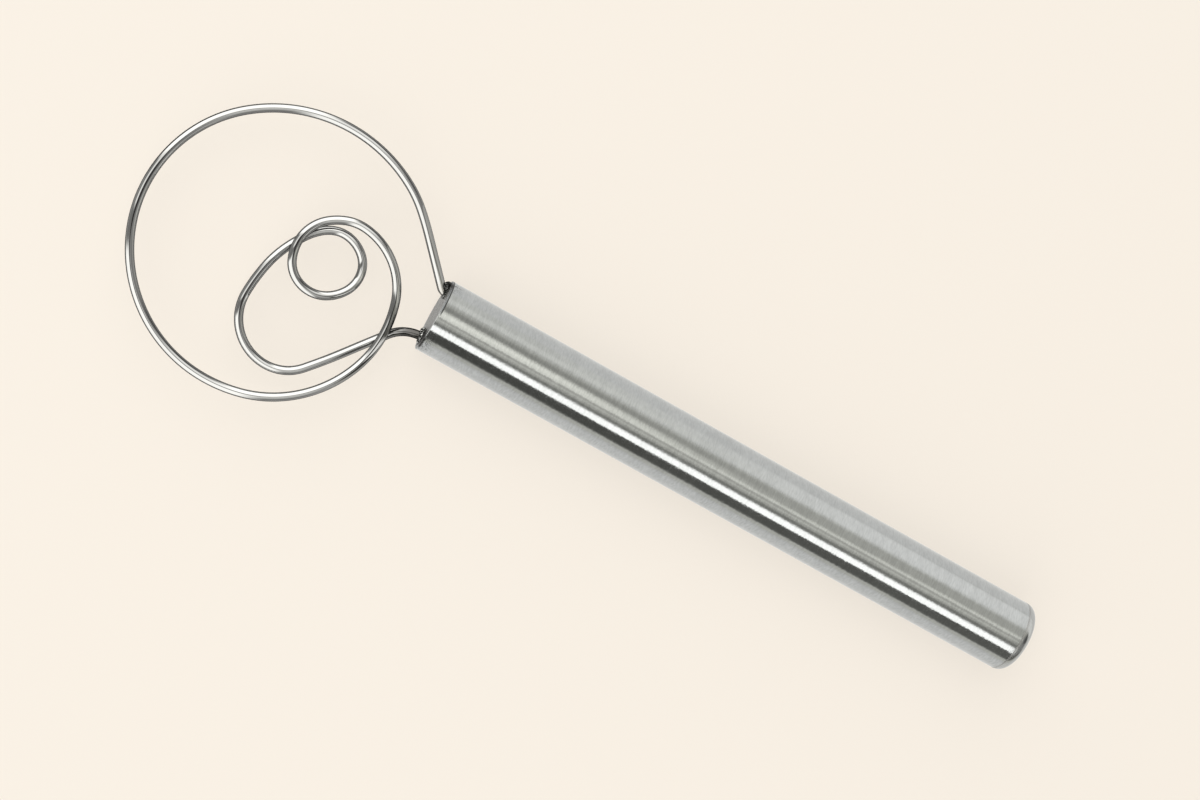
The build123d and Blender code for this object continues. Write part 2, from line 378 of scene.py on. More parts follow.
@dataclass(frozen=True)
class BrushedTube:
    """Stainless tube, brushed round its axis, with a seam line where the plate was welded in.

    The seam line and a painted shade show on the rim's upper side, and a painted highlight on
    its lower side. The welds burnt the rim and spattered it with specks. The edges of the seam
    line and the painted highlight are shares of the seam's width, and the painted shade's of the seam's
    place.
    """

    colour: Colour = (0.528, 0.546, 0.556)
    dull: Colour = (0.442, 0.457, 0.465)
    seam: Colour = (0.05, 0.05, 0.05)
    # Painted shade for the rim's upper edge, and painted highlight for its lower edge.
    upper_rim_shade: Colour = (0.25, 0.26, 0.27)
    lower_rim_highlight: Colour = (0.47, 0.48, 0.48)
    roughness: Range = (0.0935, 0.132)
    broad_roughness: float = 0.08
    worked_roughness: float = 0.3
    lip_roughness: float = 0.4
    fine_scales: Scales = (2000.0, 450.0, 450.0)
    broad_scales: Scales = (420.0, 70.0, 70.0)
    waver_scales: Scales = (2300.0, 950.0, 950.0)
    cloud_scale: float = 34.0
    fine_share: float = 0.65
    grain_depth: float = 0.000009
    waver_depth: float = 0.00003
    scratches: Scratches = Scratches()
    seam_place: float = 0.0007
    seam_width: float = 0.00034
    seam_share: float = 0.95
    seam_edge: Range = (0.3, 0.8)
    # Edges of the rim band, which carries the painted shade and the burn, and of the painted highlight.
    dark_edge: Range = (0.75, 0.95)
    bright_edge: Range = (0.4, 0.7)
    upper_side: Range = (0.0003, 0.0022)
    speck_scale: float = 2300.0
    speck_edge: Range = (0.49, 0.57)
    speck_share: float = 0.75
    spatter_reach: float = 0.0052
    burn_reach: float = 0.0024

    def build(self, burnt: tuple[Vector, ...]) -> bpy.types.Material:
        """Makes the material.

        Args:
            burnt: The places on the rim that the welds burnt and spat on, in metres.

        Returns:
            The material.
        """
        steel = Surface("brushed_tube")
        nodes, shader = steel.nodes, steel.shader
        place = steel.place()
        x, y, _ = nodes.split(place)

        fine = nodes.stretched(place, self.fine_scales, 2.0)
        broad = nodes.stretched(place, self.broad_scales, 3.0)
        waver = nodes.stretched(place, self.waver_scales, 2.0)
        broad_part = nodes.times(broad, 1.0 - self.fine_share)
        grain = nodes.plus(nodes.times(fine, self.fine_share), broad_part)
        marks = self.scratches.marks(nodes, place)

        upper = nodes.span(y, self.upper_side, RISING, smooth=True)
        lower = nodes.math("SUBTRACT", 1.0, upper)
        off = nodes.math("ABSOLUTE", nodes.math("SUBTRACT", x, self.seam_place))
        line = nodes.span(off, scaled(self.seam_edge, self.seam_width), FALLING, smooth=True)
        line = nodes.times(line, nodes.times(upper, self.seam_share))
        rim = nodes.span(x, scaled(self.dark_edge, self.seam_place), FALLING, smooth=True)
        # Painted shade: the rim's edge is darkened on its upper side.
        upper_rim_shade_mask = nodes.times(rim, upper)
        # Painted highlight: a thin bright band along the rim's edge on its lower side.
        lower_rim_highlight_band = nodes.span(x, scaled(self.bright_edge, self.seam_width), FALLING, smooth=True)
        lower_rim_highlight = nodes.times(lower_rim_highlight_band, lower)

        specks = nodes.noise(place, self.speck_scale)
        specks = nodes.span(specks, self.speck_edge, (0.0, self.speck_share), smooth=True)
        specks = nodes.times(specks, steel.heat(place, burnt, self.spatter_reach))
        burn = nodes.times(steel.heat(place, burnt, self.burn_reach), rim)
        specks = nodes.math("MAXIMUM", specks, burn)

        colour = nodes.mix(nodes.span(grain, NOISE_HEART, RISING), self.dull, self.colour)
        colour = nodes.mix(upper_rim_shade_mask, colour, self.upper_rim_shade)
        colour = nodes.mix(lower_rim_highlight, colour, self.lower_rim_highlight)
        colour = nodes.mix(specks, colour, self.seam)
        nodes.feed(shader.inputs["Base Color"], nodes.mix(line, colour, self.seam))

        rough = nodes.span(nodes.noise(place, self.cloud_scale), NOISE_CORE, self.roughness)
        rough = nodes.plus(rough, nodes.times(nodes.math("SUBTRACT", broad, 0.5), self.broad_roughness))
        worked = nodes.math("MAXIMUM", nodes.math("MAXIMUM", line, specks), upper_rim_shade_mask)
        rough = nodes.plus(rough, nodes.times(worked, self.worked_roughness))
        rough = nodes.plus(rough, nodes.times(lower_rim_highlight, self.lip_roughness))
        rough = nodes.plus(rough, nodes.times(marks, self.scratches.roughness))
        nodes.feed(shader.inputs["Roughness"], rough)

        under = nodes.bump(marks, -self.scratches.depth)
        under = nodes.bump(waver, self.waver_depth, under)
        nodes.feed(shader.inputs["Normal"], nodes.bump(grain, self.grain_depth, under))
        return steel.material


@dataclass(frozen=True)
class DrawnWire:
    """Bright drawn stainless wire, its drawing lines along it.

    The line scales are for the wire's length in metres and for a girth of unit radius.
    """

    colour: Colour = (0.372, 0.374, 0.371)
    dull: Colour = (0.310, 0.311, 0.308)
    straw: Colour = (0.200, 0.170, 0.130)
    # Colour of the painted dark reflection on the lower leg, and on the front plate beside the lower weld.
    dark_reflection: Colour = (0.036, 0.034, 0.032)
    edge: Colour = (0.0, 0.0, 0.0)
    roughness: Range = (0.03375, 0.06075)
    band_roughness: float = 0.06
    straw_roughness: float = 0.12
    line_scales: Pair = (45.0, 7.0)
    line_range: Range = (0.3, 0.6)
    line_depth: float = 0.0000025
    band_scale: float = 900.0
    band_depth: float = 0.0000012
    cloud_scale: float = 130.0
    straw_reach: float = 0.0055
    straw_share: float = 0.3
    # How far and how strongly the painted dark reflection spreads along the leg from the lower weld.
    dark_reflection_reach: float = 0.017
    dark_reflection_share: float = 0.9

    def build(self, upper_weld: Vector, lower_weld: Vector) -> bpy.types.Material:
        """Makes the material.

        Args:
            upper_weld: The middle of the upper weld, in metres.
            lower_weld: The middle of the lower one, round which the leg gets a painted dark reflection.

        Returns:
            The material.
        """
        steel = Surface("drawn_wire")
        nodes, shader = steel.nodes, steel.shader
        place = steel.place()
        along = nodes.add("ShaderNodeAttribute", attribute_name="along").outputs["Fac"]
        around = nodes.add("ShaderNodeAttribute", attribute_name="around").outputs["Fac"]
        turn = nodes.times(around, 2 * math.pi)
        ring = (nodes.math("COSINE", turn), nodes.math("SINE", turn))
        length_scale, girth_scale = self.line_scales
        wide_ring = (nodes.times(part, girth_scale) for part in ring)
        lines = nodes.noise(nodes.vector(nodes.times(along, length_scale), *wide_ring), 1.0, 3.0, 0.6)
        bands = nodes.noise(nodes.vector(nodes.times(along, self.band_scale), *ring), 1.0, 2.0)

        colour = nodes.mix(nodes.span(lines, self.line_range, RISING), self.dull, self.colour)
        heat = steel.heat(place, (upper_weld, lower_weld), self.straw_reach)
        colour = nodes.mix(nodes.times(heat, self.straw_share), colour, self.straw)
        # Painted dark reflection: the lower leg is darkened near the lower weld, where it reflects the dark
        # front of the handle.
        leg_dark_reflection = steel.heat(place, (lower_weld,), self.dark_reflection_reach)
        colour = nodes.mix(nodes.times(leg_dark_reflection, self.dark_reflection_share), colour, self.dark_reflection)
        nodes.feed(shader.inputs["Base Color"], colour)

        rough = nodes.span(nodes.noise(place, self.cloud_scale), NOISE_CORE, self.roughness)
        rough = nodes.plus(rough, nodes.times(nodes.math("SUBTRACT", bands, 0.5), self.band_roughness))
        rough = nodes.plus(rough, nodes.times(heat, self.straw_roughness))
        nodes.feed(shader.inputs["Roughness"], rough)

        under = nodes.bump(bands, self.band_depth)
        nodes.feed(shader.inputs["Normal"], nodes.bump(lines, self.line_depth, under))
        shader.inputs["Specular Tint"].default_value = (*self.edge, 1.0)
        return steel.material


@dataclass(frozen=True)
class TurnedPlate:
    """Satin steel with the fine rings of a turned or polished face."""

    name: str
    colour: Colour = (0.462, 0.460, 0.446)
    straw: Colour = (0.21, 0.205, 0.19)
    bloom: Colour = (0.40, 0.395, 0.39)
    # Colour of the painted dark reflection beside the lower weld.
    dark_reflection: Colour = (0.07, 0.07, 0.07)
    edge: Colour = (0.58, 0.58, 0.585)
    roughness: Range = (0.24, 0.40)
    straw_roughness: float = 0.10
    cloud_scale: float = 420.0
    ring_scale: float = 1900.0
    ring_waver: float = 60.0
    ring_level: float = 0.84
    ring_depth: float = 0.000005
    stain_scale: float = 900.0
    stain_level: float = 0.6
    stain_edge: Range = (0.48, 0.64)
    stain_share: float = 0.6
    stain_depth: float = 0.000004
    bloom_scale: float = 380.0
    bloom_edge: Range = (0.46, 0.6)
    bloom_share: float = 0.8
    straw_reach: float = 0.0055
    straw_share: float = 0.6
    # Reach of the painted dark reflection, broken into patches by the stain noise.
    dark_reflection_reach: float = 0.0044
    dark_reflection_patch_edge: Range = (0.38, 0.52)
    dark_reflection_patch_share: float = 0.75

    def build(
        self, welds: tuple[Vector, ...] = (), dark_reflection_spots: tuple[Vector, ...] = ()
    ) -> bpy.types.Material:
        """Makes the material.

        Args:
            welds: The middles of the welds that browned it, in metres.
            dark_reflection_spots: The middles of the places round the lower weld where a dark reflection is
                painted.

        Returns:
            The material.
        """
        steel = Surface(self.name)
        nodes, shader = steel.nodes, steel.shader
        place = steel.place()
        x, y, z = nodes.split(place)
        reach = nodes.math("SQRT", nodes.plus(nodes.times(y, y), nodes.times(z, z)))
        turned = nodes.vector(
            nodes.times(nodes.plus(reach, x), self.ring_scale),
            nodes.times(y, self.ring_waver),
            nodes.times(z, self.ring_waver),
        )
        rings = nodes.noise(turned, 1.0, 2.0)
        stain = nodes.noise(place, self.stain_scale, 3.0, 0.6)
        stained = nodes.span(stain, self.stain_edge, (0.0, self.stain_share), smooth=True)
        furrow = tuple(self.ring_level * part for part in self.colour)
        dark = tuple(self.stain_level * part for part in self.colour)

        colour = nodes.mix(nodes.span(rings, NOISE_CORE, RISING), furrow, self.colour)
        if welds:
            bloom = nodes.noise(place, self.bloom_scale, 2.0)
            bloomed = nodes.span(bloom, self.bloom_edge, (0.0, self.bloom_share), smooth=True)
            colour = nodes.mix(bloomed, colour, self.bloom)
        colour = nodes.mix(stained, colour, dark)
        rough = nodes.span(nodes.noise(place, self.cloud_scale, 4.0), NOISE_CORE, self.roughness)
        if welds:
            heat = steel.heat(place, welds, self.straw_reach)
            colour = nodes.mix(nodes.times(heat, self.straw_share), colour, self.straw)
            # Painted dark reflection: the plate is darkened in patches round the lower weld.
            black = steel.heat(place, dark_reflection_spots, self.dark_reflection_reach)
            dark_reflection_patches = nodes.span(stain, self.dark_reflection_patch_edge, (self.dark_reflection_patch_share, 1.0), smooth=True)
            colour = nodes.mix(nodes.times(black, dark_reflection_patches), colour, self.dark_reflection)
            rough = nodes.plus(rough, nodes.times(heat, self.straw_roughness))
        nodes.feed(shader.inputs["Base Color"], colour)
        nodes.feed(shader.inputs["Roughness"], rough)

        under = nodes.bump(stain, self.stain_depth)
        nodes.feed(shader.inputs["Normal"], nodes.bump(rings, self.ring_depth, under))
        shader.inputs["Specular Tint"].default_value = (*self.edge, 1.0)
        return steel.material


@dataclass(frozen=True)
class GroundSeam:
    """A seam bead after grinding: dull and darker than the steel, with fine pits."""

    name: str
    colour: Colour = (0.40, 0.395, 0.39)
    dark: Colour = (0.20, 0.195, 0.19)
    roughness: Range = (0.34, 0.49)
    pit_scale: float = 2600.0
    pit_depth: float = 0.00001
    cloud_scale: float = 300.0

    def build(self) -> bpy.types.Material:
        """Makes the material.

        Returns:
            The material.
        """
        steel = Surface(self.name)
        nodes, shader = steel.nodes, steel.shader
        place = steel.place()
        pits = nodes.noise(place, self.pit_scale, 3.0, 0.6)
        cloud = nodes.noise(place, self.cloud_scale)
        colour = nodes.mix(nodes.span(cloud, NOISE_HEART, RISING), self.dark, self.colour)
        nodes.feed(shader.inputs["Base Color"], colour)
        nodes.feed(shader.inputs["Roughness"], nodes.span(pits, NOISE_CORE, self.roughness))
        nodes.feed(shader.inputs["Normal"], nodes.bump(pits, self.pit_depth))
        return steel.material


@dataclass(frozen=True)
class RawBead:
    """A weld bead as it froze: dark scale with bright bare ripples.

    The metal is bare where the crust's noise is over a cut, which a greater bare share
    lowers. The roughness runs from that of the scale to that of the bare metal. A smoked
    bead is greyed on the side towards the handle's axis, up to where the smoked edge ends.
    """

    name: str
    bare_share: float
    smoked_share: float
    bare: Colour = (0.72, 0.73, 0.72)
    scale: Colour = (0.012, 0.012, 0.011)
    smoked: Colour = (0.24, 0.24, 0.235)
    roughness: Range = (0.55, 0.12)
    smoked_edge: Range = (0.0068, 0.0078)
    cut_at_none: float = 0.66
    cut_drop: float = 0.4
    cut_edge: Range = (-0.05, 0.07)
    crust_scale: float = 2700.0
    crust_depth: float = 0.00006
    fine_scale: float = 5200.0
    fine_depth: float = 0.000012

    def build(self) -> bpy.types.Material:
        """Makes the material.

        Returns:
            The material.
        """
        steel = Surface(self.name)
        nodes, shader = steel.nodes, steel.shader
        place = steel.place()
        crust = nodes.noise(place, self.crust_scale, 4.0, 0.65)
        cut = self.cut_at_none - self.cut_drop * self.bare_share
        edge = (cut + self.cut_edge[0], cut + self.cut_edge[1])
        bare = nodes.span(crust, edge, RISING, smooth=True)
        colour = nodes.mix(bare, self.scale, self.bare)
        if self.smoked_share:
            side = nodes.split(place)[1]
            inner = nodes.span(side, self.smoked_edge, (self.smoked_share, 0.0), smooth=True)
            colour = nodes.mix(inner, colour, self.smoked)
        nodes.feed(shader.inputs["Base Color"], colour)
        nodes.feed(shader.inputs["Roughness"], nodes.span(bare, RISING, self.roughness))
        under = nodes.bump(crust, self.crust_depth)
        fine = nodes.noise(place, self.fine_scale)
        nodes.feed(shader.inputs["Normal"], nodes.bump(fine, self.fine_depth, under))
        return steel.material


@dataclass(frozen=True)
class Paper:
    """The pale seamless paper that the whisk lies on.

    What the camera and the reflections see of it is partly its own glow, so that it stays
    pale, while the light that falls on it sees plain paper.
    """

    colour: Colour = (0.947, 0.879, 0.791)
    body_share: float = 0.605
    glow_share: float = 0.7
    roughness: Range = (0.86, 0.94)
    fibre_scale: float = 900.0

    def build(self) -> bpy.types.Material:
        """Makes the material.

        Returns:
            The material.
        """
        paper = Surface("floor_paper", metallic=0.0)
        nodes, shader = paper.nodes, paper.shader
        fibre = nodes.noise(paper.place(), self.fibre_scale)
        body = tuple(self.body_share * part for part in self.colour)
        shader.inputs["Base Color"].default_value = (*body, 1.0)
        nodes.feed(shader.inputs["Roughness"], nodes.span(fibre, NOISE_CORE, self.roughness))
        shader.inputs["Specular IOR Level"].default_value = 0.0
        rays = nodes.add("ShaderNodeLightPath").outputs
        seen = nodes.math("MAXIMUM", rays["Is Camera Ray"], rays["Is Glossy Ray"])
        seen = nodes.math("MAXIMUM", seen, rays["Is Transmission Ray"])
        glow = nodes.add("ShaderNodeEmission")
        glow.inputs["Color"].default_value = (*self.colour, 1.0)
        blend = nodes.add("ShaderNodeMixShader")
        nodes.feed(blend.inputs[0], nodes.times(seen, self.glow_share))
        nodes.feed(blend.inputs[1], shader.outputs["BSDF"])
        nodes.feed(blend.inputs[2], glow.outputs["Emission"])
        nodes.feed(paper.output.inputs["Surface"], blend.outputs["Shader"])
        return paper.material


def put(name: str, mesh: bpy.types.Mesh) -> bpy.types.Object:
    """Adds a mesh to the scene as an object at the origin.

    Args:
        name: The object's name.
        mesh: Its mesh, in place.

    Returns:
        The new object.
    """
    piece = bpy.data.objects.new(name, mesh)
    bpy.context.scene.collection.objects.link(piece)
    return piece


def dress(node: str, material: bpy.types.Material) -> None:
    """Gives a node of the frame its finish.

    Args:
        node: The node's name.
        material: The finish.
    """
    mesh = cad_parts[node].data
    mesh.materials.clear()
    mesh.materials.append(material)
    LOG.info("%s: finish %s", node, material.name)


def settle(piece: bpy.types.Object) -> None:
    """Turns what a piece's modifiers make into its plain mesh.

    Args:
        piece: The piece.
    """
    graph = bpy.context.evaluated_depsgraph_get()
    mesh = bpy.data.meshes.new_from_object(piece.evaluated_get(graph))
    piece.modifiers.clear()
    piece.data = mesh


@dataclass
class GeometryTree:
    """A Geometry Nodes tree with named inputs, and how a piece is run through it."""

    name: str
    nodes: Nodes = field(init=False)
    inputs: dict[str, str] = field(init=False, default_factory=dict)
    source: bpy.types.Node = field(init=False)
    result: bpy.types.Node = field(init=False)

    def __post_init__(self) -> None:
        """Makes the tree with its geometry going in and coming out."""
        tree = bpy.data.node_groups.new(self.name, "GeometryNodeTree")
        tree.is_modifier = True
        tree.interface.new_socket("Geometry", in_out="INPUT", socket_type="NodeSocketGeometry")
        tree.interface.new_socket("Geometry", in_out="OUTPUT", socket_type="NodeSocketGeometry")
        self.nodes = Nodes(tree)
        self.source = self.nodes.add("NodeGroupInput")
        self.result = self.nodes.add("NodeGroupOutput")

    def input(self, name: str, kind: str) -> Socket:
        """Adds a named input.

        Args:
            name: The input's name.
            kind: The socket's type, such as Float.

        Returns:
            The socket inside the tree.
        """
        sockets = self.nodes.tree.interface
        item = sockets.new_socket(name, in_out="INPUT", socket_type=f"NodeSocket{kind}")
        self.inputs[name] = item.identifier
        return self.source.outputs[name]

    def end(self, geometry: Socket, material: Socket) -> None:
        """Ends the tree in real, smoothly shaded geometry with its material.

        Args:
            geometry: What the tree has made.
            material: The material's input.
        """
        smooth = self.nodes.add("GeometryNodeSetShadeSmooth")
        self.nodes.feed(smooth.inputs["Geometry"], geometry)
        real = self.nodes.add("GeometryNodeRealizeInstances")
        self.nodes.feed(real.inputs["Geometry"], smooth.outputs["Geometry"])
        dressed = self.nodes.add("GeometryNodeSetMaterial")
        self.nodes.feed(dressed.inputs["Geometry"], real.outputs["Geometry"])
        self.nodes.feed(dressed.inputs["Material"], material)
        self.nodes.feed(self.result.inputs[0], dressed.outputs["Geometry"])

    def run(self, piece: bpy.types.Object, **values: object) -> None:
        """Runs a piece through the tree and keeps the plain mesh.

        Args:
            piece: The piece, whose mesh goes in.
            **values: The named inputs' values.
        """
        modifier = piece.modifiers.new(self.name, "NODES")
        modifier.node_group = self.nodes.tree
        for name, value in values.items():
            modifier[self.inputs[name]] = value
        settle(piece)


@dataclass
class WireHead:
    """The one bent wire: two legs, the outer loop, the inner loop, the ring and the lobe.

    Each row of stations is a bend that the wire passes through on its way from the upper
    hole of the front plate round to the lower one. The places and radii in the stations are
    shares of the outer loop, of the ring or of the lobe.
    """

    diameter: float = 3.0
    outer_loop: float = 47.0
    centre_shift: float = -0.148
    side_arc: float = 42.0
    inner_loop: float = 23.4
    ring: float = 11.3
    lobe: float = 17.05
    stand_off: float = 7.35
    layer_gap: float = 0.5
    hole_offset: float = 8.2
    leg_depth: float = 12.0
    exit_bend: float = 3.0
    exit_run: float = 17.0
    exit_turn: float = 47.0
    hump: float = 12.6
    hump_turn: float = 51.0
    crossing_turn: float = 241.5
    point_gap: float = 0.4
    straight_within: float = 0.000001
    sides: int = 40
    weld_place: float = -0.4
    centre: Vector = field(init=False)
    layer: float = field(init=False)

    def __post_init__(self) -> None:
        """Works out the centre of the outer loop and the height of one layer."""
        across = self.centre_shift * self.outer_loop
        self.centre = Vector((-(self.stand_off + self.outer_loop), across, 0.0))
        self.layer = (self.diameter + self.layer_gap) / 2

    def at(self, along: float, across: float) -> Vector:
        """A place measured in shares of the outer loop from its centre."""
        return self.centre + Vector((along, across, 0.0)) * self.outer_loop

    @staticmethod
    def heading(angle: float) -> Vector:
        """The direction in the head's plane at an angle in degrees from +X."""
        return Vector((math.cos(math.radians(angle)), math.sin(math.radians(angle)), 0.0))

    def bend(self, centre: Vector, radius: float, angle: float, level: float) -> tuple[Vector, Vector]:
        """A point on a bend and the wire's direction there.

        Args:
            centre: The bend's centre.
            radius: Its radius.
            angle: The place on it, in degrees.
            level: The wire's level, in layers.

        Returns:
            The point and the direction.
        """
        rise = Vector((0.0, 0.0, level * self.layer))
        return centre + self.heading(angle) * radius + rise, self.heading(angle + 90)

    def stations(self) -> list[tuple[Vector, Vector]]:
        """Places the bends that the wire passes through.

        Returns:
            A point on each bend, with the wire's direction there.
        """
        big, ring, lobe = self.outer_loop, self.ring, self.lobe
        shoulder = self.at(0.037, -0.086)
        side = self.at(0.92, -0.107) - Vector((self.side_arc, 0.0, 0.0))
        inner = self.at(0.899, -0.054) - Vector((self.inner_loop, 0.0, 0.0))
        turn_radius = 1.225 * ring
        turn = self.at(0.087, 0.130) + Vector((turn_radius, 0.0, 0.0))
        eye = self.at(0.084, 0.112) + Vector((ring, 0.0, 0.0))
        eye_right = eye + Vector((0.014, 0.003, 0.0)) * big
        eye_top = eye + Vector((0.017, -0.004, 0.0)) * big
        low = self.at(-0.052, -0.722)
        lobe_centre = low + Vector((lobe, lobe, 0.0))
        lobe_end = low + Vector((lobe, 0.88 * lobe, 0.0))
        down = Vector((0.0, 0.0, -self.layer))
        hump_centre = Vector((0.0, -self.hole_offset - self.hump, 0.0))
        hump_start, hump_middle = self.hump_turn, self.hump_turn / 2
        bend = self.bend

        def over_hump(turn: float) -> Vector:
            """A point on the hump before the lower hole, by the turn that is left."""
            return hump_centre + self.heading(90 + turn) * self.hump

        return [
            (self.run_end(), self.heading(180 - self.exit_turn)),
            bend(shoulder, 1.081 * big, 60, 0.25),
            bend(shoulder, 1.081 * big, 130, 0.50),
            bend(self.centre, big, 175, 0.65),
            bend(self.centre, 0.997 * big, 220, 0.80),
            bend(self.centre, big, 270, 0.95),
            bend(side, self.side_arc, 300, 1),
            bend(side, self.side_arc, 342, 1),
            bend(inner, self.inner_loop, 16, 1),
            bend(inner, self.inner_loop, 84, 1),
            bend(turn, turn_radius, 128, 1),
            bend(turn, turn_radius, 183, 1),
            bend(eye, ring, 235, 0.8),
            bend(eye, ring, 300, 0.2),
            bend(eye_right, ring, 365, -0.7),
            bend(eye_top, 0.95 * ring, 440, -1),
            bend(eye_top, 0.93 * ring, 488, -1),
            (self.at(0.054, 0.090) + down, self.heading(self.crossing_turn)),
            bend(lobe_centre, lobe, 178, -1),
            bend(lobe_centre, lobe, 265, -1),
            bend(lobe_end, 0.88 * lobe, 318, -1),
            (over_hump(hump_start) + down, self.heading(hump_start)),
            (over_hump(hump_middle) + down / 2, self.heading(hump_middle)),
            (Vector((0.0, -self.hole_offset, 0.0)), Vector((1.0, 0.0, 0.0))),
        ]

    def exit_end(self) -> Vector:
        """The end of the bend at the upper hole."""
        centre = Vector((0.0, self.hole_offset + self.exit_bend, 0.0))
        return centre + self.heading(-90 - self.exit_turn) * self.exit_bend

    def run_end(self) -> Vector:
        """The end of the straight run after the exit bend."""
        return self.exit_end() + self.heading(180 - self.exit_turn) * self.exit_run

    def arc(self, start: Vector, way: Vector, end: Vector) -> tuple[list[Vector], Vector]:
        """Points on the arc that leaves one point in a direction and ends at another.

        Args:
            start: The arc's first point.
            way: Its direction there.
            end: Its last point.

        Returns:
            The points after the first, and the direction at the end.
        """
        chord = end - start
        across = chord - way * chord.dot(way)
        if across.length < self.straight_within:
            count = max(1, round(chord.length / self.point_gap))
            return [start + chord * step / count for step in range(1, count + 1)], way
        radius = chord.length_squared / (2 * across.length)
        turn = 2 * math.atan2(across.length, chord.dot(way))
        inward = across.normalized()
        count = max(2, round(radius * turn / self.point_gap))
        angles = [step * turn / count for step in range(1, count + 1)]
        points = [
            start + way * radius * math.sin(angle) + inward * radius * (1 - math.cos(angle))
            for angle in angles
        ]
        return points, way * math.cos(turn) + inward * math.sin(turn)

    def centreline(self) -> list[Vector]:
        """Joins the stations by pairs of arcs that meet smoothly.

        Returns:
            The wire's centreline, as points about one point gap apart.
        """
        rows = self.stations()
        sloped = [rows[0]]
        for before, here, after in zip(rows, rows[1:], rows[2:]):
            way = (here[0] - before[0]).length + (after[0] - here[0]).length
            rise = (after[0].z - before[0].z) / way
            sloped.append((here[0], (here[1] + Vector((0.0, 0.0, rise))).normalized()))
        sloped.append(rows[-1])
        hole = Vector((0.0, self.hole_offset, 0.0))
        inside = Vector((self.leg_depth, 0.0, 0.0))
        out = Vector((-1.0, 0.0, 0.0))
        points = [hole + inside]
        points += self.arc(points[0], out, hole)[0]
        points += self.arc(hole, out, self.exit_end())[0]
        points += self.arc(self.exit_end(), self.heading(180 - self.exit_turn), self.run_end())[0]
        for (start, start_way), (end, end_way) in zip(sloped, sloped[1:]):
            gap = end - start
            ways = start_way + end_way
            bend = 2 * (1 - start_way.dot(end_way))
            reach = (math.sqrt(gap.dot(ways) ** 2 + bend * gap.dot(gap)) - gap.dot(ways)) / bend
            middle = (start + end + (start_way - end_way) * reach) / 2
            first, way = self.arc(start, start_way, middle)
            points += first + self.arc(middle, way, end)[0]
        points += self.arc(points[-1], -out, points[-1] + inside)[0]
        return points

    def tree(self) -> GeometryTree:
        """Makes the tree that sweeps a round section along the centreline.

        Returns:
            The tree, with the wire's radius, its sides and its material as inputs.
        """
        made = GeometryTree("swept_wire")
        nodes = made.nodes
        radius = made.input("Radius", "Float")
        sides = made.input("Sides", "Int")
        material = made.input("Material", "Material")
        path = nodes.add("GeometryNodeMeshToCurve")
        nodes.feed(path.inputs["Mesh"], made.source.outputs["Geometry"])
        marked = self.marked(nodes, path.outputs["Curve"], "along", "Length")
        section = nodes.add("GeometryNodeCurvePrimitiveCircle")
        nodes.feed(section.inputs["Resolution"], sides)
        nodes.feed(section.inputs["Radius"], radius)
        profile = self.marked(nodes, section.outputs["Curve"], "around", "Factor")
        swept = nodes.add("GeometryNodeCurveToMesh")
        nodes.feed(swept.inputs["Curve"], marked)
        nodes.feed(swept.inputs["Profile Curve"], profile)
        swept.inputs["Fill Caps"].default_value = True
        made.end(swept.outputs["Mesh"], material)
        return made

    @staticmethod
    def marked(nodes: Nodes, curve: Socket, name: str, measure: str) -> Socket:
        """Writes how far along it each point of a curve is.

        Args:
            nodes: The tree's helper.
            curve: The curve.
            name: The attribute's name.
            measure: Length, or Factor for a share of it.

        Returns:
            The curve with its attribute.
        """
        store = nodes.add("GeometryNodeStoreNamedAttribute", data_type="FLOAT", domain="POINT")
        nodes.feed(store.inputs["Geometry"], curve)
        store.inputs["Name"].default_value = name
        nodes.feed(store.inputs["Value"], nodes.add("GeometryNodeSplineParameter").outputs[measure])
        return store.outputs["Geometry"]

    def build(self) -> bpy.types.Object:
        """Makes the wire and puts it in the place of its node.

        Returns:
            The wire.
        """
        points = [point * MM for point in self.centreline()]
        mesh = bpy.data.meshes.new("bent_wire")
        mesh.from_pydata(points, [(step, step + 1) for step in range(len(points) - 1)], [])
        wire = put("bent_wire", mesh)
        welds = (Vector((self.weld_place, side * self.hole_offset, 0.0)) * MM for side in (1, -1))
        finish = DrawnWire().build(*welds)
        self.tree().run(wire, Radius=self.diameter / 2 * MM, Sides=self.sides, Material=finish)
        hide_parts("whisk_wire")
        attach(wire, BODY)
        LOG.info("bent_wire: %d points, %d faces", len(points), len(wire.data.polygons))
        return wire


